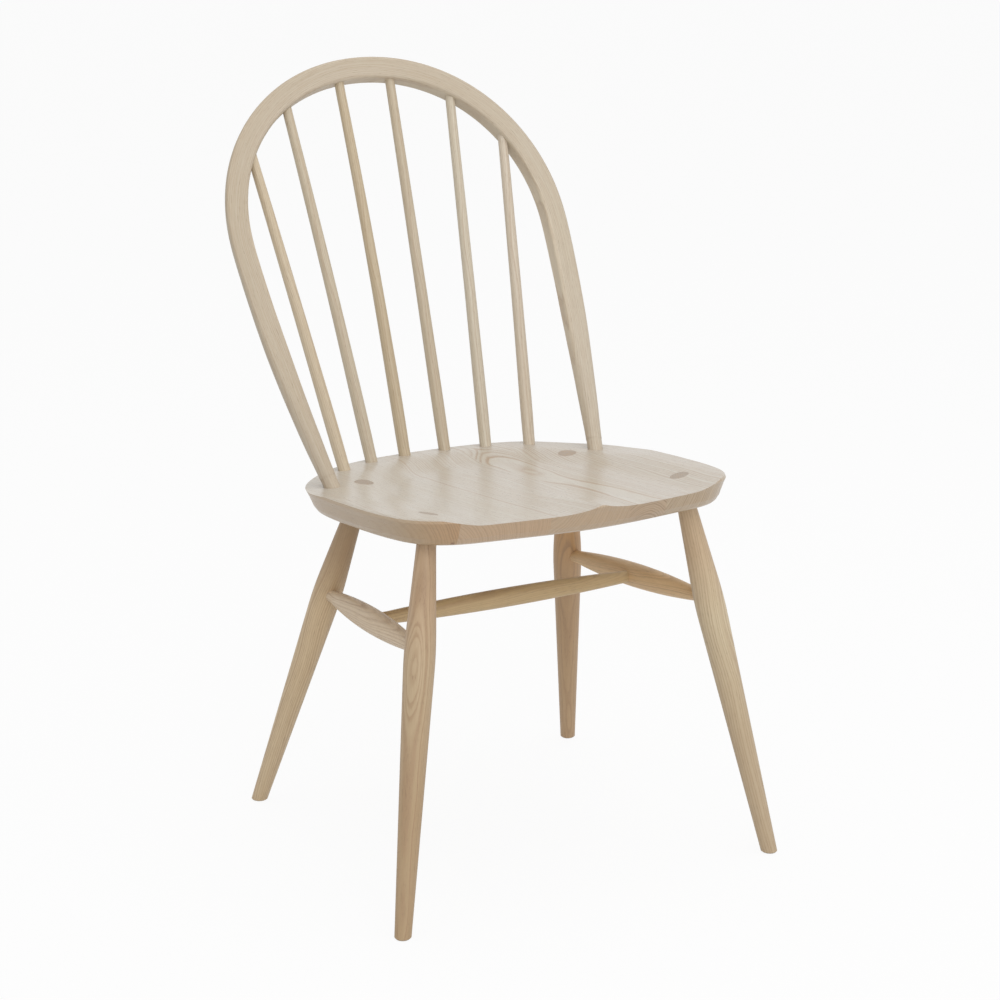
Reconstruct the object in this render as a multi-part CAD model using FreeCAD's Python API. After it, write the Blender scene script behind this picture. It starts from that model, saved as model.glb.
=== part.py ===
import FreeCAD, Part
import math
import os

# A bow-back windsor side chair in millimetres. The sitter faces -Y, +X is to the sitter's left, +Z is up,
# and the floor is Z = 0. Every piece is first placed from the seat, and the whole chair is then centred
# over its depth.

Vector = FreeCAD.Vector

# Fits
GLUE_GAP = 0.1            # round a tenon in its hole
END_GAP = 1.0             # between a blind tenon's tip and the bottom of its hole

# Seat
SEAT_HEIGHT = 440.0       # floor to the rim of the seat, in the middle
SEAT_TILT = 5.63          # degrees down toward the back
SEAT_THICKNESS = 30.0
SEAT_UNDERCUT = 10.5      # how far the edge leans in from top to bottom
SEAT_EDGE_ROUND = 4.0
SEAT_SEAMS = (-160.0, -60.0, 38.0, 90.0)    # where one board is glued to the next
# Half of the top's outline, from the front middle round to the back middle.
SEAT_OUTLINE = (
    (0.0, -231.5),
    (61.0, -226.0),
    (120.5, -214.5),
    (166.5, -201.5),
    (198.0, -172.0),
    (211.5, -131.0),
    (217.5, -50.5),
    (217.5, 16.0),
    (209.0, 84.0),
    (165.0, 154.0),
    (89.0, 199.5),
    (0.0, 210.0),
)

# Saddle, the hollow in the seat
SADDLE_DEPTH = 9.0
SADDLE_CENTRE_Y = -30.0
SADDLE_HALF_WIDTH = 190.0
SADDLE_REACH_BACK = 205.0
SADDLE_FLAT_SHARE = 0.69  # share of the hollow's radius that is at full depth
POMMEL_HEIGHT = 6.8       # of the rise between the thighs, at the front edge
POMMEL_WIDTH = 22.0
POMMEL_SHARPNESS = 1.3    # 2 is a round crest, 1 a sharp one
POMMEL_START_Y = -70.0
CORNER_FALL = 4.0         # how far the seat's top falls away at its rear corners
CORNER_FALL_X = (110.0, 190.0)    # from the middle, where the fall starts and where it is whole
CORNER_FALL_Y = (-20.0, 80.0)

# Legs: where each axis meets the seat's rim plane, and where it meets the floor
FRONT_LEG_TOP_X = 160.7
FRONT_LEG_TOP_Y = -129.7
FRONT_FOOT_X = 241.3
FRONT_FOOT_Y = -217.8
REAR_LEG_TOP_X = 135.7
REAR_LEG_TOP_Y = 79.7
REAR_FOOT_X = 220.8
REAR_FOOT_Y = 217.8
LEG_TENON_RADIUS = 11.0
LEG_SWELL_RADIUS = 17.9
LEG_SWELL_DROP = 155.0    # from the seat's top down the leg to its thickest place
LEG_SWELL_BLEND = 24.0    # half the length over which the two tapers run into each other
LEG_SOLE_RADIUS = 9.4
LEG_SHOULDER_DROP = 12.0  # how far the tenon's radius goes on below the seat
SOLE_CHAMFER = 1.5

# Wedges
WEDGE_THICKNESS = 3.0
WEDGE_TIP = 0.8
WEDGE_LENGTH = 22.0

# Side stretchers, from rear leg to front leg
STRETCHER_REAR_HEIGHT = 284.8
STRETCHER_FRONT_HEIGHT = 304.5
SIDE_STRETCHER_TENON_RADIUS = 7.6
SIDE_STRETCHER_RADIUS = 14.3
SIDE_STRETCHER_NECK = 24.0    # from the leg's axis to the end of the tenon's radius
STRETCHER_TENON_PAST = 3.0    # how far a tenon goes past the axis of what holds it

# Cross stretcher
CROSS_STRETCHER_TENON_RADIUS = 7.4
CROSS_STRETCHER_RADIUS = 11.3
CROSS_STRETCHER_NECK = 20.0

# Bow
BOW_FOOT_X = 177.5
BOW_FOOT_Y = 84.0
BOW_LEAN = 31.75          # degrees of its plane from upright
BOW_HEIGHT = 514.2        # along its plane, from the seat to the middle of its top
BOW_BACKWARD_SAG = 7.5    # how far its sides bulge back from its plane
BOW_HALF_WIDTH = 211.6
BOW_ARCH_RISE = 213.0     # height of the round part at the top
BOW_ARCH_FULLNESS = 2.05
BOW_LIMB_CURVE = 1.52
BOW_FACE_WIDTH = 27.4
BOW_DEPTH = 21.2
BOW_EDGE_ROUND = 3.2
BOW_OUTER_BACK_ROUND = 17.0
BOW_TENON_RADIUS = 9.2
BOW_TENON_ABOVE_SEAT = 8.0
BOW_TAPER_LENGTH = 158.0
BOW_DEPTH_TAPER_LENGTH = 60.0
BOW_ROUND_LENGTH = 290.0
BOW_LEAST_FLAT = 0.1      # half of what is left of its flat faces at the foot
BOW_SECTION_SPACING = 34.0
BOW_LIMB_POINTS = 8       # of the centre line, from the foot to the round part
BOW_ARCH_POINTS = 24      # from there to the top

# Spindles, from the middle outward
SPINDLE_FOOT_X = (27.3, 78.2, 126.2)
SPINDLE_FOOT_Y = (192.4, 180.3, 155.9)
SPINDLE_HEAD_X = (34.6, 112.0, 172.0)
SPINDLE_HEAD_FORWARD = 3.0    # from the bow's centre line
SPINDLE_HEAD_RADIUS = 5.8
SPINDLE_SWELL_RADIUS = 7.5
SPINDLE_FOOT_RADIUS = 7.2
SPINDLE_SWELL_SHARE = 0.1     # share of the length at which a spindle is thickest
SPINDLE_SOCKET_DEPTH = 20.0
SPINDLE_TENON_ABOVE_SEAT = 9.0
SPINDLE_TENON_BELOW_BOW = 26.0
SPINDLE_TENON_PAST = 1.5      # how far the head goes past the bow's centre line
# How far the middle of each spindle springs forward, from the -X side to the +X side
SPINDLE_SPRING = (1.4, 3.5, 5.7, 1.2, 0.8, 1.3)

# Modelling aids
REACH = 900.0             # longer than the chair, for cutting tools
SADDLE_GRID_X = 10.0
SADDLE_GRID_Y = 20.0


def smooth_step(value):
    """Goes from 0 to 1 with a level start and end."""
    limited = min(max(value, 0.0), 1.0)
    return limited * limited * (3.0 - 2.0 * limited)


def share_between(value, bounds):
    """0 at the first bound, 1 at the second one, with a smooth rise between."""
    return smooth_step((value - bounds[0]) / (bounds[1] - bounds[0]))


def ramp(start, end, share):
    return start + (end - start) * min(max(share, 0.0), 1.0)


def placement_along(origin, direction):
    """Puts a shape drawn along +Z at origin, along direction."""
    return FreeCAD.Placement(origin, FreeCAD.Rotation(Vector(0, 0, 1), direction))


def seat_placement():
    return FreeCAD.Placement(Vector(0, 0, SEAT_HEIGHT), FreeCAD.Rotation(Vector(1, 0, 0), -SEAT_TILT))


def rim_point(x, y):
    """The point of the seat's rim plane above or below (x, y)."""
    return Vector(x, y, SEAT_HEIGHT - math.tan(math.radians(SEAT_TILT)) * y)


def rod(start, end, radius):
    direction = end - start
    return Part.makeCylinder(radius, direction.Length, start, direction)


# Seat

def seat_section(inset, height):
    """The seat's outline, moved in by inset, at a height in the seat's own frame."""
    right = [Vector(x, y, 0) for x, y in SEAT_OUTLINE]
    left = [Vector(-point.x, point.y, 0) for point in right[-2:0:-1]]
    curve = Part.BSplineCurve()
    curve.interpolate(Points=right + left, PeriodicFlag=True)
    moved = []
    count = 2 * len(right + left)
    for index in range(count):
        at = curve.FirstParameter + (curve.LastParameter - curve.FirstParameter) * index / count
        tangent = curve.tangent(at)[0]
        inward = Vector(-tangent.y, tangent.x, 0)
        moved.append(curve.value(at) + inward * inset + Vector(0, 0, height))
    offset = Part.BSplineCurve()
    offset.interpolate(Points=moved, PeriodicFlag=True)
    return Part.Wire([offset.toShape()])


def saddle_level(x, y):
    """Height of the seat's top in its own frame, where the rim is 0."""
    across = abs(x) / SADDLE_HALF_WIDTH
    back = max(y - SADDLE_CENTRE_Y, 0.0) / SADDLE_REACH_BACK
    radius = math.hypot(across, back)
    hollow = 1.0 - smooth_step((radius - SADDLE_FLAT_SHARE) / (1.0 - SADDLE_FLAT_SHARE))
    front = SEAT_OUTLINE[0][1]
    forward = smooth_step((POMMEL_START_Y - y) / (POMMEL_START_Y - front))
    pommel = POMMEL_HEIGHT * forward * math.exp(-((abs(x) / POMMEL_WIDTH) ** POMMEL_SHARPNESS))
    fall = CORNER_FALL * share_between(abs(x), CORNER_FALL_X) * share_between(y, CORNER_FALL_Y)
    return pommel - fall - SADDLE_DEPTH * hollow


def above_saddle():
    """Everything above the seat's top, as a cutting tool in the chair's frame."""
    half_columns = int(max(x for x, y in SEAT_OUTLINE) / SADDLE_GRID_X) + 3
    front = SEAT_OUTLINE[0][1] - 2 * SADDLE_GRID_Y
    rows = int((SEAT_OUTLINE[-1][1] - front) / SADDLE_GRID_Y) + 3
    grid = []
    for column in range(-half_columns, half_columns + 1):
        x = SADDLE_GRID_X * column
        line = []
        for row in range(rows):
            y = front + SADDLE_GRID_Y * row
            line.append(Vector(x, y, saddle_level(x, y)))
        grid.append(line)
    surface = Part.BSplineSurface()
    surface.interpolate(grid)
    tool = surface.toShape().extrude(Vector(0, 0, 4 * SEAT_THICKNESS))
    tool.Placement = seat_placement()
    return tool


def below_seat():
    """Everything below the seat's underside, as a cutting tool in the chair's frame."""
    tool = Part.makeBox(REACH, REACH, REACH, Vector(-REACH / 2, -REACH / 2, -REACH - SEAT_THICKNESS))
    tool.Placement = seat_placement()
    return tool


def seat_blank():
    """The seat without its saddle: its edge leans out from the bottom up and is rounded at both rims."""
    round_inset = SEAT_EDGE_ROUND * 0.3
    sections = [
        seat_section(SEAT_UNDERCUT + SEAT_EDGE_ROUND, -SEAT_THICKNESS),
        seat_section(SEAT_UNDERCUT + round_inset, -SEAT_THICKNESS + SEAT_EDGE_ROUND * 0.5),
        seat_section(SEAT_UNDERCUT * 0.75, -SEAT_THICKNESS * 0.75),
        seat_section(SEAT_UNDERCUT * 0.3, -SEAT_THICKNESS * 0.35),
        seat_section(0.0, -SEAT_EDGE_ROUND),
        seat_section(round_inset, -SEAT_EDGE_ROUND * 0.3),
        seat_section(SEAT_EDGE_ROUND * 2.5, SEAT_EDGE_ROUND * 0.5),
    ]
    blank = Part.makeLoft(sections, True, True)
    blank.Placement = seat_placement()
    return blank


def seat_boards(seat):
    """Cuts the seat into its five edge-glued boards, from the -X side to the +X side."""
    bounds = (-REACH / 2,) + SEAT_SEAMS + (REACH / 2,)
    boards = []
    for low, high in zip(bounds, bounds[1:]):
        slab = Part.makeBox(high - low, REACH, REACH, Vector(low, -REACH / 2, 0))
        boards.append(seat.common(slab))
    return boards


# Legs

def leg_axis(side, front):
    """Top on the rim plane and sole on the floor, for side -1 or 1."""
    if front:
        top = rim_point(side * FRONT_LEG_TOP_X, FRONT_LEG_TOP_Y)
        return top, Vector(side * FRONT_FOOT_X, FRONT_FOOT_Y, 0)
    top = rim_point(side * REAR_LEG_TOP_X, REAR_LEG_TOP_Y)
    return top, Vector(side * REAR_FOOT_X, REAR_FOOT_Y, 0)


def leg_point(side, front, height):
    top, sole = leg_axis(side, front)
    return top + (sole - top) * ((top.z - height) / (top.z - sole.z))


def turned(outline_edges, origin, direction):
    """A turned piece: outline edges in the XZ plane, from and to the axis, turned round +Z."""
    face = Part.Face(Part.Wire(outline_edges))
    solid = face.revolve(Vector(0, 0, 0), Vector(0, 0, 1), 360)
    solid = Part.Solid(solid.Shells[0]) if solid.ShapeType != "Solid" else solid
    solid.Placement = placement_along(origin, direction)
    return solid


def line(start, end):
    return Part.makeLine(Vector(start[0], 0, start[1]), Vector(end[0], 0, end[1]))


def leg_blank(side, front):
    """A whole leg, longer than its seat and floor ends, with +Z of its outline pointing down the leg."""
    top, sole = leg_axis(side, front)
    length = (sole - top).Length
    above = -2.0 * SEAT_THICKNESS
    beyond = length + 4.0 * LEG_SOLE_RADIUS
    taper = (LEG_SWELL_RADIUS - LEG_SOLE_RADIUS) / (length - LEG_SWELL_DROP)
    end_radius = LEG_SOLE_RADIUS - taper * (beyond - length)
    neck = SEAT_THICKNESS + LEG_SHOULDER_DROP
    rise = (LEG_SWELL_RADIUS - LEG_TENON_RADIUS) / (LEG_SWELL_DROP - neck)
    before = (LEG_SWELL_RADIUS - rise * LEG_SWELL_BLEND, LEG_SWELL_DROP - LEG_SWELL_BLEND)
    after = (LEG_SWELL_RADIUS - taper * LEG_SWELL_BLEND, LEG_SWELL_DROP + LEG_SWELL_BLEND)
    swell = Part.BezierCurve()
    swell.setPoles([
        Vector(before[0], 0, before[1]),
        Vector(LEG_SWELL_RADIUS, 0, LEG_SWELL_DROP),
        Vector(after[0], 0, after[1]),
    ])
    edges = [
        line((0, above), (LEG_TENON_RADIUS, above)),
        line((LEG_TENON_RADIUS, above), (LEG_TENON_RADIUS, neck)),
        line((LEG_TENON_RADIUS, neck), before),
        swell.toShape(),
        line(after, (end_radius, beyond)),
        line((end_radius, beyond), (0, beyond)),
        line((0, beyond), (0, above)),
    ]
    return turned(edges, top, sole - top)


def leg_hole(side, front):
    """The leg's hole through the seat."""
    top, sole = leg_axis(side, front)
    down = (sole - top).normalize()
    return rod(top - down * 2 * SEAT_THICKNESS, top + down * 3 * SEAT_THICKNESS, LEG_TENON_RADIUS + GLUE_GAP)


def wedge_tool(end, inward, across):
    """A wedge in a tenon's end. inward points into the tenon, across lies along the wedge's width."""
    along = Vector(inward).normalize()
    thick = along.cross(across).normalize()
    wide = thick.cross(along).normalize()
    half_width = 2 * LEG_TENON_RADIUS
    taper = (WEDGE_THICKNESS - WEDGE_TIP) / WEDGE_LENGTH
    reach_out = SEAT_THICKNESS
    outer = (WEDGE_THICKNESS + taper * reach_out) / 2
    corners = [
        end - along * reach_out + thick * outer,
        end + along * WEDGE_LENGTH + thick * WEDGE_TIP / 2,
        end + along * WEDGE_LENGTH - thick * WEDGE_TIP / 2,
        end - along * reach_out - thick * outer,
    ]
    corners = [corner - wide * half_width for corner in corners]
    face = Part.Face(Part.makePolygon(corners + corners[:1]))
    return face.extrude(wide * 2 * half_width)


def make_leg(side, front, above):
    """A leg with its sockets and its wedge: returns both solids."""
    top, sole = leg_axis(side, front)
    down = (sole - top).normalize()
    floor = Part.makeBox(REACH, REACH, REACH, Vector(-REACH / 2, -REACH / 2, -REACH))
    blank = leg_blank(side, front).cut(floor).cut(above)
    sole_edge = [edge for edge in blank.Edges if abs(edge.BoundBox.ZMax) < 0.01]
    blank = blank.makeChamfer(SOLE_CHAMFER, sole_edge)
    blank = blank.cut(side_stretcher_socket(side, front))
    wedge_shape = wedge_tool(top, down, Vector(1, 0, 0))
    tenon = rod(top - down * SEAT_THICKNESS, top + down * SEAT_THICKNESS, LEG_TENON_RADIUS)
    wedge = wedge_shape.common(tenon).cut(above)
    return blank.cut(wedge_shape), wedge


# Stretchers

def side_stretcher_ends(side):
    return leg_point(side, False, STRETCHER_REAR_HEIGHT), leg_point(side, True, STRETCHER_FRONT_HEIGHT)


def cross_stretcher_ends():
    ends = []
    for side in (-1, 1):
        rear, front = side_stretcher_ends(side)
        ends.append((rear + front) * 0.5)
    return ends


def stretcher(start, end, tenon_radius, radius, neck):
    """A turned stretcher between two axes, swelling to radius in the middle."""
    direction = end - start
    length = direction.Length
    curve = Part.BezierCurve()
    middle = 2.0 * radius - tenon_radius
    curve.setPoles([
        Vector(tenon_radius, 0, neck),
        Vector(middle, 0, length / 2),
        Vector(tenon_radius, 0, length - neck),
    ])
    low = -STRETCHER_TENON_PAST
    high = length + STRETCHER_TENON_PAST
    edges = [
        line((0, low), (tenon_radius, low)),
        line((tenon_radius, low), (tenon_radius, neck)),
        curve.toShape(),
        line((tenon_radius, length - neck), (tenon_radius, high)),
        line((tenon_radius, high), (0, high)),
        line((0, high), (0, low)),
    ]
    return turned(edges, start, direction)


def socket(inside, outward, radius):
    """A blind hole round a tenon that ends at inside and leaves along outward."""
    away = Vector(outward).normalize()
    bottom = inside - away * (STRETCHER_TENON_PAST + END_GAP)
    return rod(bottom, inside + away * 3 * LEG_SWELL_RADIUS, radius + GLUE_GAP)


def side_stretcher_socket(side, front):
    rear_end, front_end = side_stretcher_ends(side)
    if front:
        return socket(front_end, rear_end - front_end, SIDE_STRETCHER_TENON_RADIUS)
    return socket(rear_end, front_end - rear_end, SIDE_STRETCHER_TENON_RADIUS)


def make_side_stretcher(side):
    rear, front = side_stretcher_ends(side)
    body = stretcher(rear, front, SIDE_STRETCHER_TENON_RADIUS, SIDE_STRETCHER_RADIUS, SIDE_STRETCHER_NECK)
    left, right = cross_stretcher_ends()
    here, there = (left, right) if side < 0 else (right, left)
    return body.cut(socket(here, there - here, CROSS_STRETCHER_TENON_RADIUS))


def make_cross_stretcher():
    left, right = cross_stretcher_ends()
    return stretcher(left, right, CROSS_STRETCHER_TENON_RADIUS, CROSS_STRETCHER_RADIUS, CROSS_STRETCHER_NECK)


# Bow

def bow_half_span(height):
    """Half the bow's width at a height along its plane."""
    shoulder = BOW_HEIGHT - BOW_ARCH_RISE
    if height < shoulder:
        share = (shoulder - height) / shoulder
        return BOW_HALF_WIDTH - (BOW_HALF_WIDTH - BOW_FOOT_X) * share ** BOW_LIMB_CURVE
    share = (height - shoulder) / BOW_ARCH_RISE
    left_over = max(1.0 - share ** BOW_ARCH_FULLNESS, 0.0)
    return BOW_HALF_WIDTH * left_over ** (1.0 / BOW_ARCH_FULLNESS)


def bow_point(x, height):
    """A point of the bow's curved plane."""
    lean = math.radians(BOW_LEAN)
    share = height / BOW_HEIGHT
    sag = 4.0 * BOW_BACKWARD_SAG * share * (1.0 - share)
    foot = rim_point(0, BOW_FOOT_Y)
    return Vector(x, foot.y + height * math.sin(lean) + sag, foot.z + height * math.cos(lean))


def bow_curve():
    """The bow's centre line from the -X foot over the top to the +X foot."""
    shoulder = BOW_HEIGHT - BOW_ARCH_RISE
    heights = []
    for step in range(BOW_LIMB_POINTS):
        heights.append(BOW_TENON_ABOVE_SEAT + (shoulder - BOW_TENON_ABOVE_SEAT) * step / BOW_LIMB_POINTS)
    for step in range(BOW_ARCH_POINTS):
        heights.append(shoulder + BOW_ARCH_RISE * math.sin(math.pi / 2 * step / BOW_ARCH_POINTS))
    left = [bow_point(-bow_half_span(height), height) for height in heights]
    right = [Vector(-point.x, point.y, point.z) for point in reversed(left)]
    curve = Part.BSplineCurve()
    curve.interpolate(left + [bow_point(0, BOW_HEIGHT)] + right)
    return curve


def bow_plane_height(point):
    foot = rim_point(0, BOW_FOOT_Y)
    return (point.z - foot.z) / math.cos(math.radians(BOW_LEAN))


def bow_frame(curve, at):
    """Centre, outward and forward directions of the bow at a parameter of its curve."""
    centre = curve.value(at)
    tangent = curve.tangent(at)[0]
    share = bow_plane_height(centre) / BOW_HEIGHT
    slope = 4.0 * BOW_BACKWARD_SAG * (1.0 - 2.0 * share) / BOW_HEIGHT
    lean = math.radians(BOW_LEAN)
    up = Vector(0, math.sin(lean) + slope, math.cos(lean)).normalize()
    forward = Vector(1, 0, 0).cross(up)
    outward = forward.cross(tangent).normalize()
    forward = tangent.cross(outward).normalize()
    return centre, outward, forward


def bow_section(curve, at):
    """The bow's outline: a flat front and inner side, and a broad round at the outer back edge."""
    centre, outward, forward = bow_frame(curve, at)
    height = bow_plane_height(centre)
    smallest = BOW_TENON_RADIUS - BOW_LEAST_FLAT
    half_face = ramp(BOW_TENON_RADIUS, BOW_FACE_WIDTH / 2, height / BOW_TAPER_LENGTH)
    half_depth = ramp(BOW_TENON_RADIUS, BOW_DEPTH / 2, height / BOW_DEPTH_TAPER_LENGTH)
    blend = smooth_step((height - BOW_TENON_ABOVE_SEAT) / (BOW_ROUND_LENGTH - BOW_TENON_ABOVE_SEAT))
    edge = ramp(smallest, BOW_EDGE_ROUND, blend)
    back = ramp(smallest, BOW_OUTER_BACK_ROUND, blend)

    def corner(side, face, radius):
        """Three points of the rounded corner on that side (1 outer) and that face (1 front)."""
        middle = (side * (half_face - radius), face * (half_depth - radius))
        diagonal = radius * math.sqrt(0.5)
        along_side = (side * half_face, middle[1])
        bulge = (middle[0] + side * diagonal, middle[1] + face * diagonal)
        along_face = (middle[0], face * half_depth)
        return along_side, bulge, along_face

    def place(pair):
        return centre + outward * pair[0] + forward * pair[1]

    outer_front = [place(pair) for pair in corner(1, 1, edge)]
    inner_front = [place(pair) for pair in reversed(corner(-1, 1, edge))]
    inner_back = [place(pair) for pair in corner(-1, -1, edge)]
    outer_back = [place(pair) for pair in reversed(corner(1, -1, back))]
    edges = []
    corners = [outer_front, inner_front, inner_back, outer_back]
    for here, following in zip(corners, corners[1:] + corners[:1]):
        edges.append(Part.Arc(*here).toShape())
        edges.append(Part.makeLine(here[2], following[0]))
    return Part.Wire(edges)


def bow_tenon(side, curve, radius, extra):
    """The round end of the bow, through the seat. extra carries it further up and down."""
    at = curve.FirstParameter if side < 0 else curve.LastParameter
    end = curve.value(at)
    down = curve.tangent(at)[0] * side
    return rod(end - down * extra, end + down * (3 * SEAT_THICKNESS + extra), radius), end, down


def make_bow(curve, under):
    """The bow with its two tenons cut off flush under the seat, and the wedge of each tenon."""
    count = int(curve.length() / BOW_SECTION_SPACING)
    sections = []
    for index in range(count + 1):
        at = curve.parameterAtDistance(curve.length() * index / count, curve.FirstParameter)
        sections.append(bow_section(curve, at))
    bow = Part.makeLoft(sections, True, False)
    wedges = []
    for side in (-1, 1):
        tenon, end, down = bow_tenon(side, curve, BOW_TENON_RADIUS, 0.0)
        tenon = tenon.cut(under)
        foot = rim_point(side * BOW_FOOT_X, BOW_FOOT_Y)
        normal = seat_placement().Rotation.multVec(Vector(0, 0, 1))
        drop = ((end - foot).dot(normal) + SEAT_THICKNESS) / -down.dot(normal)
        lower_end = end + down * drop
        wedge_shape = wedge_tool(lower_end, down * -1, Vector(1, 0, 0))
        wedges.append(wedge_shape.common(tenon))
        bow = bow.fuse(tenon.cut(wedge_shape))
    return bow.removeSplitter(), wedges


# Spindles

def bow_at_x(curve, x):
    """The point of the bow's upper part at x."""
    low = curve.parameterAtDistance(curve.length() / 2, curve.FirstParameter)
    high = curve.parameter(bow_point(math.copysign(BOW_HALF_WIDTH, x), BOW_HEIGHT - BOW_ARCH_RISE))
    for attempt in range(50):
        middle = (low + high) / 2
        if abs(curve.value(middle).x) < abs(x):
            low = middle
        else:
            high = middle
    return curve.value(low)


def spindle_axis(curve, index, side):
    """Where a spindle's axis meets the seat's rim plane, and where it ends in the bow."""
    foot = rim_point(side * SPINDLE_FOOT_X[index], SPINDLE_FOOT_Y[index])
    head = bow_at_x(curve, side * SPINDLE_HEAD_X[index]) + Vector(0, -SPINDLE_HEAD_FORWARD, 0)
    return foot, head


def spindle_holes(curve, index, side):
    """The spindle's sockets in the seat and in the bow."""
    foot, head = spindle_axis(curve, index, side)
    up = (head - foot).normalize()
    seat_bottom = foot - up * (SPINDLE_SOCKET_DEPTH + END_GAP)
    seat_hole = rod(seat_bottom, foot + up * SEAT_THICKNESS, SPINDLE_FOOT_RADIUS + GLUE_GAP)
    bow_top = head + up * (SPINDLE_TENON_PAST + END_GAP)
    bow_hole = rod(head - up * BOW_FACE_WIDTH * 1.5, bow_top, SPINDLE_HEAD_RADIUS + GLUE_GAP)
    return seat_hole, bow_hole


def make_spindle(curve, index, side, spring):
    foot, head = spindle_axis(curve, index, side)
    up = (head - foot).normalize()
    start = foot + up * SPINDLE_TENON_ABOVE_SEAT
    end = head - up * SPINDLE_TENON_BELOW_BOW
    shares = (0.0, SPINDLE_SWELL_SHARE, 0.3, 0.5, 0.7, 0.85, 1.0)
    circles = []
    for share in shares:
        if share < SPINDLE_SWELL_SHARE:
            radius = SPINDLE_FOOT_RADIUS
        else:
            down_share = (1.0 - share) / (1.0 - SPINDLE_SWELL_SHARE)
            radius = ramp(SPINDLE_HEAD_RADIUS, SPINDLE_SWELL_RADIUS, down_share)
        centre = start + (end - start) * share + Vector(0, -4.0 * spring * share * (1.0 - share), 0)
        circles.append(Part.Wire([Part.makeCircle(radius, centre, up)]))
    shaft = Part.makeLoft(circles, True, False)
    foot_tenon = rod(foot - up * SPINDLE_SOCKET_DEPTH, start, SPINDLE_FOOT_RADIUS)
    head_tenon = rod(end, head + up * SPINDLE_TENON_PAST, SPINDLE_HEAD_RADIUS)
    return shaft.fuse([foot_tenon, head_tenon])


def build():
    """All pieces by name, placed from the seat."""
    above = above_saddle()
    under = below_seat()
    curve = bow_curve()
    seat = seat_blank().cut(above)
    pieces = {}
    for front, place in ((True, "front"), (False, "rear")):
        for side, hand in ((-1, "right"), (1, "left")):
            leg, wedge = make_leg(side, front, above)
            pieces["leg_%s_%s" % (place, hand)] = leg
            pieces["leg_wedge_%s_%s" % (place, hand)] = wedge
            seat = seat.cut(leg_hole(side, front))
    for side, hand in ((-1, "right"), (1, "left")):
        pieces["side_stretcher_" + hand] = make_side_stretcher(side)
        seat = seat.cut(bow_tenon(side, curve, BOW_TENON_RADIUS + GLUE_GAP, SEAT_THICKNESS)[0])
    pieces["cross_stretcher"] = make_cross_stretcher()
    bow, bow_wedges = make_bow(curve, under)
    pieces["bow_wedge_right"], pieces["bow_wedge_left"] = bow_wedges
    number = 0
    for side, order in ((-1, (2, 1, 0)), (1, (0, 1, 2))):
        for index in order:
            seat_hole, bow_hole = spindle_holes(curve, index, side)
            seat = seat.cut(seat_hole)
            bow = bow.cut(bow_hole)
            pieces["spindle_%d" % (number + 1)] = make_spindle(curve, index, side, SPINDLE_SPRING[number])
            number += 1
    pieces["bow"] = bow
    for number, board in enumerate(seat_boards(seat)):
        pieces["seat_board_%d" % (number + 1)] = board
    return pieces


def centred(pieces):
    """Moves the whole chair along Y so that its depth is centred on the origin."""
    box = Part.makeCompound(list(pieces.values())).optimalBoundingBox(False)
    shift = Vector(0, -(box.YMin + box.YMax) / 2, 0)
    for shape in pieces.values():
        shape.translate(shift)
    return shift.y


os.makedirs("parts", exist_ok=True)
chair = build()
shift_y = centred(chair)
print("moved along Y by %.2f" % shift_y)
for name, shape in chair.items():
    solids = shape.Solids
    print("%-24s solids %d valid %s volume %.0f" % (name, len(solids), shape.isValid(), shape.Volume))
    shape.exportStep("parts/%s.step" % name)
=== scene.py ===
import math

import bpy
from mathutils import Matrix, Vector


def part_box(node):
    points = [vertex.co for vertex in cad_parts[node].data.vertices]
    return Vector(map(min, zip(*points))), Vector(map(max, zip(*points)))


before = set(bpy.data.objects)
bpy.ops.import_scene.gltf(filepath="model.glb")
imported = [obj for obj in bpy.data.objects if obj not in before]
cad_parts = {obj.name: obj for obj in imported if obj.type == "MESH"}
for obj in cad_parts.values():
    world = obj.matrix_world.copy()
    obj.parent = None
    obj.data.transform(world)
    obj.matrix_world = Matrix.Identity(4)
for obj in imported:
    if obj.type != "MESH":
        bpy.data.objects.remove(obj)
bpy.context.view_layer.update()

# The part is centred over its whole depth, so the middle between its feet lies a little forward
feet_middle_y = (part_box("leg_front_left")[0][1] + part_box("leg_rear_left")[1][1]) / 2

# Camera, as the photograph's perspective gives it
CAMERA_AZIMUTH = math.radians(-28.82)
CAMERA_ELEVATION = math.radians(16.02)
CAMERA_DISTANCE = 2.975
CAMERA_TARGET_HEIGHT = 0.408
CAMERA_LENS = 92.2
CAMERA_SENSOR = 36.0
HALF_A_PIXEL = 0.0005    # of the picture's width

# The seat
SEAT_HEIGHT = 0.440      # of its rim plane, in the middle between the feet
SEAT_TILT = math.radians(5.63)
SEAT_THICKNESS = 0.030

# The bow's shape
BOW_FOOT_Y = 0.084       # from the middle between the feet
BOW_FOOT_X = 0.1775
BOW_LEAN = math.radians(31.75)
BOW_HALF_WIDTH = 0.2116
BOW_SHOULDER = 0.3012    # along its plane, from the seat to where the round part starts
BOW_LIMB_CURVE = 1.52

# Radii at the ends of the round pieces
LEG_SOLE_RADIUS = 0.0094
LEG_TENON_RADIUS = 0.011
SPINDLE_FOOT_RADIUS = 0.0072
SPINDLE_HEAD_RADIUS = 0.0058
STRETCHER_TENON_RADIUS = 0.0076

# A small dark knot in the seat's front edge
KNOT_X = -0.163
KNOT_Y = -0.190          # from the middle between the feet
KNOT_DEPTH = 0.0265      # below the rim plane
KNOT_RADIUS = 0.003

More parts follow.
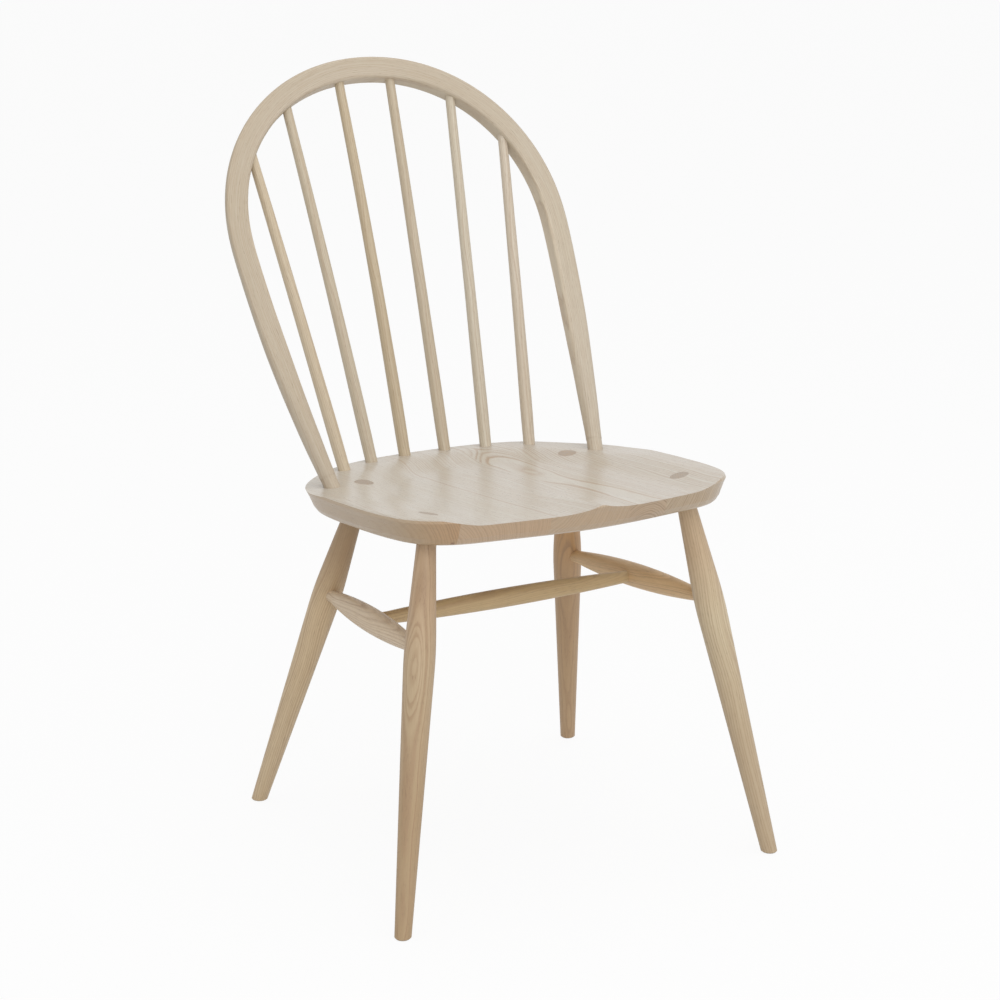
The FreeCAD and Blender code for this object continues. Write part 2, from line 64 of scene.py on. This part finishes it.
# Colours of ash, as linear values
# The seat's top tone is paler and greyer than its edge's: painted sheen
SEAT_TONE_WITH_PAINTED_SHEEN = (0.555, 0.522, 0.458)
SEAT_EDGE_TONE = (0.52, 0.44, 0.345)    # of the edge, which is left without the painted sheen of the top
BOW_TONE = (0.53, 0.455, 0.355)
LEG_TONE = (0.58, 0.44, 0.29)
TENON_TONE = (0.385, 0.33, 0.275)       # of the legs' and wedges' ends
RING = (0.37, 0.235, 0.135)
END_RING = (0.18, 0.10, 0.05)           # where the wood is cut across its grain
PORE = (0.22, 0.14, 0.085)
KNOT = (0.16, 0.075, 0.045)

# What a tone is multiplied by
END_TINT = (0.92, 0.79, 0.65)           # where the wood is cut across its grain
PALE_PATCH = (1.03, 1.035, 1.05)
BROWN_PATCH = (0.98, 0.96, 0.92)
STREAK_TINT = (0.85, 0.80, 0.74)
# Painted light: the bow's right limb and top a little darker and its left limb paler, for light that falls
# unevenly on the limbs
BOW_RIGHT_PAINTED_SHADE = (0.95, 0.96, 0.95)
BOW_LEFT_PAINTED_LIGHT = (1.05, 1.09, 1.12)
# Painted light: the bow's inner side paler, for the light that fills it
BOW_INNER_SIDE_PAINTED_LIGHT = (1.20, 1.20, 1.20)

# Where one tone fades into another
# Where a leg's painted shade at its foot and top fades into the painted light of its middle
LEG_FOOT_TO_MIDDLE = (0.3, 0.65)        # shares of a leg's length
LEG_MIDDLE_TO_TOP = (0.62, 0.80)
SEAT_EDGE_TO_PAINTED_SHEEN = (0.3, 0.9)           # of how far the surface faces up
BOW_TOP_TO_LEFT_PAINTED_LIGHT = (0.05, 0.35)          # metres from the bow's top, along it
BOW_FACE_TO_INNER_PAINTED_LIGHT = (-0.009, -0.013)    # metres from its centre line, outward

# Growth rings
ONE_YEAR = (                            # places in a year's growth, and how open the wood is there
    (0.0, 0.3),
    (0.06, 1.0),
    (0.26, 0.8),
    (0.5, 0.15),
    (0.85, 0.0),
    (1.0, 0.3))
FAINTEST_YEAR = 0.45                    # how strongly it shows, next to 1 for the strongest
PACE_WAVES = 0.37                       # to the year, in the noise that makes rings wide and narrow
PACE_YEARS = 2.0                        # the most that this noise moves a ring, in years
WIGGLE_SHARE = 0.15                     # of the wander, in finer waves

# Noises: waves to the metre across the grain and along it
WANDER_WAVES = (11.0, 5.0)
WIGGLE_WAVES = (70.0, 16.0)
PATCH_WAVES = (16.0, 3.0)
STREAK_WAVES = (330.0, 7.0)
FIBRE_WAVES = (1500.0, 45.0)
PORE_WAVES = (2200.0, 120.0)
KNOT_WAVES = (400.0, 400.0)

# Between these levels of its noise, each goes from unseen to full
PATCH_LEVELS = (0.3, 0.7)
STREAK_LEVELS = (0.5, 0.75)
FIBRE_LEVELS = (0.4, 0.75)
PORE_LEVELS = (0.60, 0.68)

# How much of its own colour each shows when full
STREAK_SHARE = 0.45
FIBRE_SHARE = 0.28
PORE_SHARE = 0.4
KNOT_SHARE = 0.85
LATE_PORES = 0.15                       # added to how open the wood is, so that late wood has some too

# How far apart the noises of one seed and the next lie
NOISE_STEP = (1.37, 0.73, 2.11)
PACE_STEP = 7.0

# The surface
SEAT_ROUGHNESS = 0.32
ROUGHNESS = 0.5
ROUGHNESS_SPREAD = 0.05
ROUGHNESS_LEVELS = (0.3, 0.8)           # of the fibres' noise, from the least rough to the most
RELIEF_STRENGTH = 0.35
RELIEF_DEPTH = 0.00025
FIBRE_RELIEF = 0.5
PORE_RELIEF = -0.7

# The stage
FLOOR_SIZE = 60.0
FLOOR_DROP = 0.0005                     # below the soles
FLOOR_COLOUR = 0.8
FLOOR_WHITE_SHARE = 0.92                # the rest of what is seen is lit, and shows the shadow
WORLD_LIGHT = 0.64
LIT_POINT = Vector((0.0, 0.0, 0.45))


# Helpers for node trees

class Tree:
    """The nodes of one material, or of the world."""

    def __init__(self, owner):
        self.owner = owner
        owner.use_nodes = True
        self.tree = owner.node_tree
        self.tree.nodes.clear()

    def node(self, kind, **values):
        made = self.tree.nodes.new(kind)
        for key, value in values.items():
            setattr(made, key, value)
        return made

    def feed(self, socket, value):
        """Links a socket to another, or sets its value."""
        if isinstance(value, bpy.types.NodeSocket):
            self.tree.links.new(value, socket)
        else:
            socket.default_value = value

    def coordinates(self, kind):
        return self.node("ShaderNodeTexCoord").outputs[kind]

    def math(self, operation, first, second=0.0, third=0.0):
        made = self.node("ShaderNodeMath", operation=operation)
        for socket, value in zip(made.inputs, (first, second, third)):
            self.feed(socket, value)
        return made.outputs[0]

    def vector(self, operation, first, second=(0.0, 0.0, 0.0)):
        made = self.node("ShaderNodeVectorMath", operation=operation)
        self.feed(made.inputs[0], first)
        self.feed(made.inputs[1], second)
        return made.outputs["Value"] if operation in ("DOT_PRODUCT", "LENGTH") else made.outputs["Vector"]

    def parts(self, vector):
        """The X, Y and Z of a vector."""
        made = self.node("ShaderNodeSeparateXYZ")
        self.feed(made.inputs[0], vector)
        return made.outputs

    def joined(self, x, y, z):
        made = self.node("ShaderNodeCombineXYZ")
        for socket, value in zip(made.inputs, (x, y, z)):
            self.feed(socket, value)
        return made.outputs[0]

    def noise(self, space, waves, detail=2.0):
        """Noise with that many waves to the metre, across the grain and along it."""
        across, lengthwise = waves
        made = self.node("ShaderNodeTexNoise")
        stretched = self.vector("MULTIPLY", space, (across, across, lengthwise))
        self.feed(made.inputs["Vector"], stretched)
        made.inputs["Scale"].default_value = 1.0
        made.inputs["Detail"].default_value = detail
        return made.outputs["Fac"]

    def ramp(self, value, stops):
        """A grey ramp through (position, level) stops."""
        made = self.node("ShaderNodeValToRGB")
        elements = made.color_ramp.elements
        while len(elements) < len(stops):
            elements.new(0.5)
        for element, (position, level) in zip(elements, stops):
            element.position = position
            element.color = (level, level, level, 1.0)
        self.feed(made.inputs["Fac"], value)
        return made.outputs["Color"]

    def range(self, value, from_low, from_high, to_low=0.0, to_high=1.0):
        """The value, moved from one range to another and held within it."""
        made = self.node("ShaderNodeMapRange")
        self.feed(made.inputs["Value"], value)
        made.inputs["From Min"].default_value = from_low
        made.inputs["From Max"].default_value = from_high
        made.inputs["To Min"].default_value = to_low
        made.inputs["To Max"].default_value = to_high
        return made.outputs["Result"]

    def mix(self, factor, first, second):
        """A colour between two. Each is a tuple or a socket."""
        made = self.node("ShaderNodeMix", data_type="RGBA")
        self.feed(made.inputs["Factor"], factor)
        for socket, value in ((made.inputs[6], first), (made.inputs[7], second)):
            if isinstance(value, tuple):
                value = (*value, 1.0)
            self.feed(socket, value)
        return made.outputs[2]

    def tinted(self, colour, tint):
        """A colour times a tint, where the colour may be a socket."""
        if isinstance(colour, tuple):
            return tinted(colour, tint)
        return self.vector("MULTIPLY", colour, tint)

    def mix_shaders(self, factor, first, second):
        made = self.node("ShaderNodeMixShader")
        for socket, value in zip(made.inputs, (factor, first, second)):
            self.feed(socket, value)
        return made.outputs[0]

    def shade_with(self, shader):
        """Ends the tree in this shader, and returns its material or world."""
        kind = "World" if isinstance(self.owner, bpy.types.World) else "Material"
        output = self.node("ShaderNodeOutput" + kind)
        self.feed(output.inputs["Surface"], shader)
        return self.owner


def material_tree(name):
    return Tree(bpy.data.materials.new(name))


def tinted(colour, tint):
    return tuple(value * factor for value, factor in zip(colour, tint))


# Coordinates in the wood

def measured_from(tree, origin, rotation):
    """Coordinates in a frame that stands at origin and is turned."""
    mapping = tree.node("ShaderNodeMapping", vector_type="TEXTURE")
    tree.feed(mapping.inputs["Vector"], tree.coordinates("Object"))
    mapping.inputs["Location"].default_value = origin
    mapping.inputs["Rotation"].default_value = rotation
    return mapping.outputs["Vector"]


def along(tree, origin, grain, to_pith):
    """Coordinates measured from origin, with +Z along the grain and +X toward the pith."""
    z = Vector(grain).normalized()
    sideways = Vector(to_pith)
    x = (sideways - z * sideways.dot(z)).normalized()
    turn = Matrix((x, z.cross(x), z)).transposed()
    return measured_from(tree, origin, turn.to_euler())


def bent_along_bow(tree):
    """Coordinates that follow the bow: X is outward, Y is through its depth, and Z is along it.

    Z starts at the bow's top and is positive on the chair's +X side."""
    foot = seat_point(0.0, BOW_FOOT_Y)
    up = Vector((0.0, math.sin(BOW_LEAN), math.cos(BOW_LEAN)))
    x, y, z = tree.parts(measured_from(tree, foot + up * BOW_SHOULDER, (-BOW_LEAN, 0.0, 0.0)))
    above = tree.math("MAXIMUM", z, 0.0)
    below = tree.math("MAXIMUM", tree.math("MULTIPLY", z, -1.0), 0.0)

    squares = tree.math("ADD", tree.math("MULTIPLY", x, x), tree.math("MULTIPLY", above, above))
    share = tree.math("POWER", tree.math("DIVIDE", below, BOW_SHOULDER), BOW_LIMB_CURVE)
    narrowing = tree.math("MULTIPLY", share, BOW_HALF_WIDTH - BOW_FOOT_X)
    widened = tree.math("ADD", tree.math("SQRT", squares), narrowing)
    outward = tree.math("SUBTRACT", widened, BOW_HALF_WIDTH)

    angle = tree.math("ARCTAN2", above, tree.math("ABSOLUTE", x))
    arc = tree.math("MULTIPLY", tree.math("SUBTRACT", math.pi / 2, angle), BOW_HALF_WIDTH)
    length = tree.math("MULTIPLY", tree.math("ADD", arc, below), tree.math("SIGN", x))
    return tree.joined(outward, y, length)


# Wood

def growth(tree, space, seed, pith, ring_width, wander):
    """How open the wood is at a place, from 0 to 1, and how strongly that year shows."""
    from_pith = tree.vector("SUBTRACT", space, (pith, 0.0, 0.0))
    radius = tree.vector("LENGTH", tree.vector("MULTIPLY", from_pith, (1.0, 1.0, 0.0)))
    slow = tree.noise(space, WANDER_WAVES, detail=1.0)
    quick = tree.noise(space, WIGGLE_WAVES, detail=1.0)
    shift = tree.math("MULTIPLY", tree.math("SUBTRACT", slow, 0.5), wander)
    small_shift = tree.math("MULTIPLY", tree.math("SUBTRACT", quick, 0.5), wander * WIGGLE_SHARE)
    wavy = tree.math("ADD", tree.math("ADD", radius, shift), small_shift)
    years = tree.math("DIVIDE", wavy, ring_width)

    pace = tree.node("ShaderNodeTexNoise", noise_dimensions="1D")
    tree.feed(pace.inputs["W"], tree.math("MULTIPLY_ADD", years, PACE_WAVES, seed * PACE_STEP))
    pace.inputs["Scale"].default_value = 1.0
    pace.inputs["Detail"].default_value = 1.0
    uneven = tree.math("MULTIPLY_ADD", pace.outputs["Fac"], PACE_YEARS, years)

    early = tree.ramp(tree.math("FRACT", uneven), ONE_YEAR)
    year = tree.node("ShaderNodeTexWhiteNoise", noise_dimensions="1D")
    tree.feed(year.inputs["W"], tree.math("FLOOR", uneven))
    return early, tree.range(year.outputs["Value"], 0.0, 1.0, FAINTEST_YEAR, 1.0)


def end_grain(tree, grain):
    """1 where the surface cuts straight across the grain, 0 where it runs along it."""
    facing = tree.vector("DOT_PRODUCT", tree.coordinates("Normal"), tuple(Vector(grain).normalized()))
    return tree.math("MULTIPLY", facing, facing)


def with_knot(tree, colour, centre, radius):
    """The colour with a small dark knot round a point."""
    core = 0.9 * radius
    rim = 1.6 * radius
    place = tree.coordinates("Object")
    distance = tree.vector("LENGTH", tree.vector("SUBTRACT", place, tuple(centre)))
    ragged = tree.math("MULTIPLY_ADD", tree.noise(place, KNOT_WAVES), 0.8 * radius, distance)
    return tree.mix(tree.range(ragged, core, rim, KNOT_SHARE, 0.0), colour, KNOT)


def wood(tree, space, seed, tone, grain=None, pith=0.06, ring_width=0.003, wander=0.02,
         rings=0.5, end_rings=0.5, end_tone=None, rough=ROUGHNESS, knot=None):
    """Ash: growth rings round a pith line, open pores in each year's early wood, and fine fibres.

    space comes from along or bent_along_bow, and seed sets its noises apart from those of other pieces. tone
    is a colour or a socket. Without a grain direction there is no end grain. pith is how far away the pith
    line lies, wander is how far the rings stray, and rings and end_rings are how strongly they show on faces
    along the grain and across it. knot is a point and a radius."""
    moved = tree.vector("ADD", space, tuple(seed * step for step in NOISE_STEP))
    early, year = growth(tree, space, seed, pith, ring_width, wander)
    end = end_grain(tree, grain) if grain else 0.0

    patch = tree.range(tree.noise(moved, PATCH_WAVES, detail=3.0), *PATCH_LEVELS)
    base = tree.mix(patch, tree.tinted(tone, PALE_PATCH), tree.tinted(tone, BROWN_PATCH))
    ring = RING
    if grain:
        base = tree.mix(end, base, end_tone or tree.tinted(tone, END_TINT))
        ring = tree.mix(end, RING, END_RING)
    strength = tree.math("MULTIPLY_ADD", end, end_rings - rings, rings)
    ringed = tree.mix(tree.math("MULTIPLY", tree.math("MULTIPLY", early, year), strength), base, ring)

    streak = tree.range(tree.noise(moved, STREAK_WAVES), *STREAK_LEVELS, 0.0, STREAK_SHARE)
    streaked = tree.mix(streak, ringed, tree.tinted(tone, STREAK_TINT))
    fibre = tree.noise(moved, FIBRE_WAVES, detail=3.0)
    fibred = tree.mix(tree.range(fibre, *FIBRE_LEVELS, 0.0, FIBRE_SHARE), streaked, RING)

    open_pore = tree.range(tree.noise(moved, PORE_WAVES, detail=1.0), *PORE_LEVELS)
    pore = tree.math("MULTIPLY", open_pore, tree.math("ADD", early, LATE_PORES))
    colour = tree.mix(tree.math("MULTIPLY", pore, PORE_SHARE), fibred, PORE)
    if knot:
        colour = with_knot(tree, colour, *knot)

    bump = tree.node("ShaderNodeBump")
    bump.inputs["Strength"].default_value = RELIEF_STRENGTH
    bump.inputs["Distance"].default_value = RELIEF_DEPTH
    relief = tree.math("MULTIPLY_ADD", pore, PORE_RELIEF, tree.math("MULTIPLY", fibre, FIBRE_RELIEF))
    tree.feed(bump.inputs["Height"], relief)

    shader = tree.node("ShaderNodeBsdfPrincipled")
    tree.feed(shader.inputs["Base Color"], colour)
    roughness = tree.range(fibre, *ROUGHNESS_LEVELS, rough - ROUGHNESS_SPREAD, rough + ROUGHNESS_SPREAD)
    tree.feed(shader.inputs["Roughness"], roughness)
    tree.feed(shader.inputs["Normal"], bump.outputs["Normal"])
    return tree.shade_with(shader.outputs["BSDF"])


def give(name, material):
    """Puts a material on a CAD node."""
    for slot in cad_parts[name].material_slots:
        slot.material = material


# Where pieces lie

def seat_point(x, y, up=0.0):
    """A point above the seat's rim plane, with y from the middle between the legs' feet."""
    return Vector((x, y + feet_middle_y, SEAT_HEIGHT - math.tan(SEAT_TILT) * y + up))


def corners(name):
    low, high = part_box(name)
    return Vector(low), Vector(high)


def axis_ends(name, rise_x, rise_y, low_radius, high_radius):
    """The ends of a slanting round piece's axis. rise_x and rise_y are the signs of its way up."""
    low, high = corners(name)
    middle = (low + high) / 2
    half = (high - low) / 2
    way = Vector((rise_x, rise_y, 1.0))
    bottom = Vector((half.x - low_radius, half.y - low_radius, half.z))
    top = Vector((half.x - high_radius, half.y - high_radius, half.z))
    return middle - bottom * way, middle + top * way


def dress_round(name, ends, to_pith, seed, tone, **look):
    """Dresses a straight round piece. tone is one colour, or three: at its start, middle and end, which for
    a leg are its own tone with painted shade and light.
    """
    start, end = ends
    tree = material_tree("ash_" + name)
    grain = end - start
    space = along(tree, start, grain, to_pith)
    if isinstance(tone[0], tuple):
        tone = tone_and_painted_shade_along(tree, space, grain.length, *tone)
    give(name, wood(tree, space, seed, tone, grain=grain, **look))


def tone_and_painted_shade_along(tree, space, length, start_tone, middle_tone, end_tone):
    """A tone that changes along a piece, carrying a leg's painted shade and light."""
    share = tree.math("DIVIDE", tree.parts(space)["Z"], length)
    lower = tree.mix(tree.range(share, *LEG_FOOT_TO_MIDDLE), start_tone, middle_tone)
    return tree.mix(tree.range(share, *LEG_MIDDLE_TO_TOP), lower, end_tone)


# Pieces

def dress_board(number, pith_x, to_pith, edge_tint=(1.0, 1.0, 1.0), **look):
    """Dresses one board of the seat, whose edge has a tone of its own, and whose top is paler with painted
    sheen.
    """
    name = "seat_board_%d" % number
    grain = Vector((0.0, math.cos(SEAT_TILT), -math.sin(SEAT_TILT)))
    tree = material_tree("ash_" + name)
    space = along(tree, seat_point(pith_x, 0.0, -SEAT_THICKNESS / 2), grain, to_pith)
    upward = tree.vector("DOT_PRODUCT", tree.coordinates("Normal"), (0.0, 0.0, 1.0))
    # Painted sheen: faces that look up take the paler top tone
    tone = tree.mix(tree.range(upward, *SEAT_EDGE_TO_PAINTED_SHEEN), tinted(SEAT_EDGE_TONE, edge_tint), SEAT_TONE_WITH_PAINTED_SHEEN)
    give(name, wood(tree, space, number, tone, grain=grain, rough=SEAT_ROUGHNESS, **look))


def dress_seat():
    """Dresses the boards, which differ in how they were cut from the log."""
    knot = (seat_point(KNOT_X, KNOT_Y, -KNOT_DEPTH), KNOT_RADIUS)
    low_right = (-1.0, 0.0, -0.35)
    lower_right = (-1.0, 0.0, -0.8)
    high_right = (-1.0, 0.0, 0.55)
    below = (0.0, 0.0, -1.0)
    dress_board(1, pith_x=-0.185, to_pith=low_right, pith=0.08, ring_width=0.0028, rings=0.35, end_rings=0.9,
                edge_tint=(0.80, 0.71, 0.57), end_tone=(0.50, 0.30, 0.155), knot=knot)
    dress_board(2, pith_x=-0.155, to_pith=lower_right, pith=0.035, rings=0.3, end_rings=0.35,
                edge_tint=(1.02, 0.97, 0.93))
    dress_board(3, pith_x=0.0, to_pith=high_right, pith=0.12, rings=0.6, end_rings=0.3)
    dress_board(4, pith_x=0.06, to_pith=below, pith=0.034, rings=0.8, end_rings=0.8)
    dress_board(5, pith_x=0.12, to_pith=high_right, pith=0.1, ring_width=0.0028, rings=0.75, end_rings=1.0,
                edge_tint=(1.05, 1.10, 1.11))


def dress_leg(name, to_pith, seed, foot_tint_and_painted_shade, middle_tint_and_painted_light, top_tint_and_painted_shade, **look):
    """Dresses a leg, which rises toward the chair's middle, with painted shade and light along it."""
    rise_x = -1 if name.endswith("left") else 1
    rise_y = 1 if "front" in name else -1
    ends = axis_ends(name, rise_x, rise_y, LEG_SOLE_RADIUS, LEG_TENON_RADIUS)
    tones_with_painted_shade = [tinted(LEG_TONE, tint) for tint in (foot_tint_and_painted_shade, middle_tint_and_painted_light, top_tint_and_painted_shade)]
    dress_round(name, ends, to_pith, seed, tones_with_painted_shade, pith=0.09, end_rings=0.2, end_tone=TENON_TONE, **look)


def dress_legs():
    # Each leg's three tints are partly its own tone, and partly painted shade under the seat and toward the
    # foot, with painted light in its middle
    dress_leg("leg_front_right", to_pith=(-0.74, -0.67, 0.0), seed=11, ring_width=0.0022, rings=0.85,
              foot_tint_and_painted_shade=(0.78, 0.74, 0.66), middle_tint_and_painted_light=(0.95, 0.98, 0.98), top_tint_and_painted_shade=(0.92, 0.87, 0.85))
    dress_leg("leg_front_left", to_pith=(0.80, -0.60, 0.0), seed=12, ring_width=0.003, rings=0.6,
              foot_tint_and_painted_shade=(0.90, 0.94, 0.95), middle_tint_and_painted_light=(1.11, 1.24, 1.29), top_tint_and_painted_shade=(0.99, 0.99, 0.98))
    dress_leg("leg_rear_right", to_pith=(0.88, -0.48, 0.0), seed=13, ring_width=0.0024, rings=0.75,
              foot_tint_and_painted_shade=(1.05, 1.09, 1.06), middle_tint_and_painted_light=(1.08, 1.10, 1.05), top_tint_and_painted_shade=(0.72, 0.67, 0.60))
    dress_leg("leg_rear_left", to_pith=(-0.46, -0.84, 0.0), seed=14, ring_width=0.003, rings=0.85,
              foot_tint_and_painted_shade=(0.83, 0.75, 0.65), middle_tint_and_painted_light=(0.84, 0.73, 0.62), top_tint_and_painted_shade=(1.06, 0.84, 0.60))


def dress_side_stretcher(hand, rise_x, seed, tint):
    name = "side_stretcher_" + hand
    ends = axis_ends(name, rise_x, -1, STRETCHER_TENON_RADIUS, STRETCHER_TENON_RADIUS)
    dress_round(name, ends, (-0.3, 0.0, 1.0), seed, tinted(LEG_TONE, tint), pith=0.07, rings=0.6)


def dress_stretchers():
    dress_side_stretcher("right", rise_x=-1, seed=21, tint=(1.18, 1.27, 1.40))
    dress_side_stretcher("left", rise_x=1, seed=22, tint=(1.19, 1.10, 0.92))
    ends = axis_ends("cross_stretcher", 1, 0, 0.0, 0.0)
    # Painted shade: the cross stretcher darker and browner, for the warm shade under the seat
    tone = tinted(LEG_TONE, (0.95, 0.92, 0.74))
    dress_round("cross_stretcher", ends, (0.0, -0.3, 1.0), 23, tone, rings=0.45)


def dress_spindles():
    tints = (    # from the -X side
        (1.18, 1.19, 1.14),
        (1.10, 1.14, 1.13),
        (1.03, 1.01, 0.90),
        (1.06, 1.08, 1.05),
        (1.16, 1.23, 1.26),
        (1.20, 1.25, 1.31))
    for number, tint in enumerate(tints, start=1):
        name = "spindle_%d" % number
        rise_x = 1 if number > len(tints) / 2 else -1
        ends = axis_ends(name, rise_x, 1, SPINDLE_FOOT_RADIUS, SPINDLE_HEAD_RADIUS)
        tone = tinted(BOW_TONE, tint)
        dress_round(name, ends, (0.9, -0.4, 0.0), 30 + number, tone, ring_width=0.0024, rings=0.45)


def dress_bow():
    """Dresses the bow, with painted light that makes it paler toward its left limb and on its inner side."""
    tree = material_tree("ash_bow")
    space = bent_along_bow(tree)
    outward, _, length = tree.parts(space)
    # Painted light: paler toward the left limb
    left_painted_light_share = tree.range(length, *BOW_TOP_TO_LEFT_PAINTED_LIGHT)
    tone = tree.mix(left_painted_light_share, tinted(BOW_TONE, BOW_RIGHT_PAINTED_SHADE), tinted(BOW_TONE, BOW_LEFT_PAINTED_LIGHT))
    # Painted light: paler on the inner side
    inner_painted_light_share = tree.range(outward, *BOW_FACE_TO_INNER_PAINTED_LIGHT)
    tone = tree.mix(inner_painted_light_share, tone, tree.tinted(tone, BOW_INNER_SIDE_PAINTED_LIGHT))
    give("bow", wood(tree, space, 50, tone, pith=0.09, ring_width=0.0022, wander=0.012, rings=0.4))


def dress_wedges():
    upright = Vector((0.0, 0.0, 1.0))
    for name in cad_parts:
        if "wedge" in name:
            low, high = corners(name)
            tree = material_tree("ash_" + name)
            space = along(tree, (low + high) / 2, upright, (0.0, 1.0, 0.0))
            give(name, wood(tree, space, 60, LEG_TONE, grain=upright, end_rings=0.2, end_tone=TENON_TONE))


# Stage

def seen_rays(tree):
    """1 for rays that show the background, straight or by a reflection."""
    path = tree.node("ShaderNodeLightPath")
    either = tree.math("MAXIMUM", path.outputs["Is Camera Ray"], path.outputs["Is Glossy Ray"])
    return tree.math("MAXIMUM", either, path.outputs["Is Transmission Ray"])


def white_floor():
    """A floor that is nearly white to the camera and keeps a trace of the chair's shadow."""
    bpy.ops.mesh.primitive_plane_add(size=FLOOR_SIZE, location=(0.0, 0.0, -FLOOR_DROP))
    floor = bpy.context.object
    floor.name = "floor"
    tree = material_tree("white_floor")
    lit = tree.node("ShaderNodeBsdfDiffuse")
    lit.inputs["Color"].default_value = (FLOOR_COLOUR, FLOOR_COLOUR, FLOOR_COLOUR, 1.0)
    white = tree.node("ShaderNodeEmission")
    white.inputs["Strength"].default_value = 1.0
    seen = tree.math("MULTIPLY", seen_rays(tree), FLOOR_WHITE_SHARE)
    floor.data.materials.append(tree.shade_with(tree.mix_shaders(seen, lit.outputs[0], white.outputs[0])))


def background(tree, strength):
    """A white background shader."""
    made = tree.node("ShaderNodeBackground")
    made.inputs["Color"].default_value = (1.0, 1.0, 1.0, 1.0)
    made.inputs["Strength"].default_value = strength
    return made.outputs[0]


def white_world():
    """A world that lights the chair softly, and is plain white where it is seen."""
    world = bpy.data.worlds.new("studio")
    bpy.context.scene.world = world
    tree = Tree(world)
    tree.shade_with(tree.mix_shaders(seen_rays(tree), background(tree, WORLD_LIGHT), background(tree, 1.0)))


def area_light(name, location, size, power):
    """A square lamp that faces the chair."""
    data = bpy.data.lights.new(name, "AREA")
    data.shape = "SQUARE"
    data.size = size
    data.energy = power
    light = bpy.data.objects.new(name, data)
    bpy.context.collection.objects.link(light)
    light.location = location
    toward = LIT_POINT - Vector(location)
    light.rotation_euler = toward.to_track_quat("-Z", "Y").to_euler()


def lamps():
    area_light("overhead", location=(0.3, -0.3, 3.2), size=2.6, power=29.0)
    area_light("front", location=(-1.0, -3.0, 2.0), size=1.8, power=29.0)
    area_light("front_right", location=(2.4, -2.6, 1.9), size=1.8, power=8.0)


def camera():
    back = Vector((
        math.sin(CAMERA_AZIMUTH) * math.cos(CAMERA_ELEVATION),
        -math.cos(CAMERA_AZIMUTH) * math.cos(CAMERA_ELEVATION),
        math.sin(CAMERA_ELEVATION)))
    data = bpy.data.cameras.new("camera")
    data.lens = CAMERA_LENS
    data.sensor_width = CAMERA_SENSOR
    data.shift_x = -HALF_A_PIXEL
    data.shift_y = HALF_A_PIXEL
    view = bpy.data.objects.new("camera", data)
    bpy.context.collection.objects.link(view)
    target = Vector((0.0, feet_middle_y, CAMERA_TARGET_HEIGHT))
    view.location = target + back * CAMERA_DISTANCE
    view.rotation_euler = back.to_track_quat("Z", "Y").to_euler()
    bpy.context.scene.camera = view


dress_seat()
dress_legs()
dress_stretchers()
dress_spindles()
dress_bow()
dress_wedges()
white_floor()
white_world()
lamps()
camera()
bpy.context.scene.view_settings.view_transform = "Standard"
